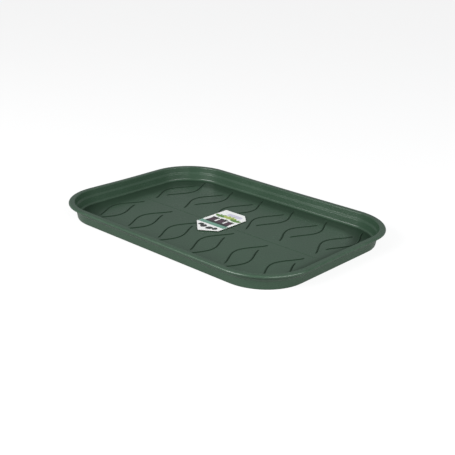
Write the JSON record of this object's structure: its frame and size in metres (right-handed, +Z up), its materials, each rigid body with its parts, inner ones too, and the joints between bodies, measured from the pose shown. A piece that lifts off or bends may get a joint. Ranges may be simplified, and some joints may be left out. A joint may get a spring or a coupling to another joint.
{
  "type": "grow tray saucer",
  "caption": "Shallow rounded plastic saucer tray with a turned-down rim and leaf-shaped ribs on its floor, to catch water under a grow tray.",
  "frame": {"origin": "middle of the tray, on the surface that it stands on", "axes": "+X along the tray's length, +Y across it, +Z up"},
  "size_m": [0.51, 0.356, 0.0285],
  "materials": {
    "tray_plastic": "satin dark green moulded plastic",
    "card_print": "gloss-coated printed card, mostly white"
  },
  "bodies": {
    "root": {"tray": "tray_plastic", "label_card": "card_print"}
  },
  "joints": []
}
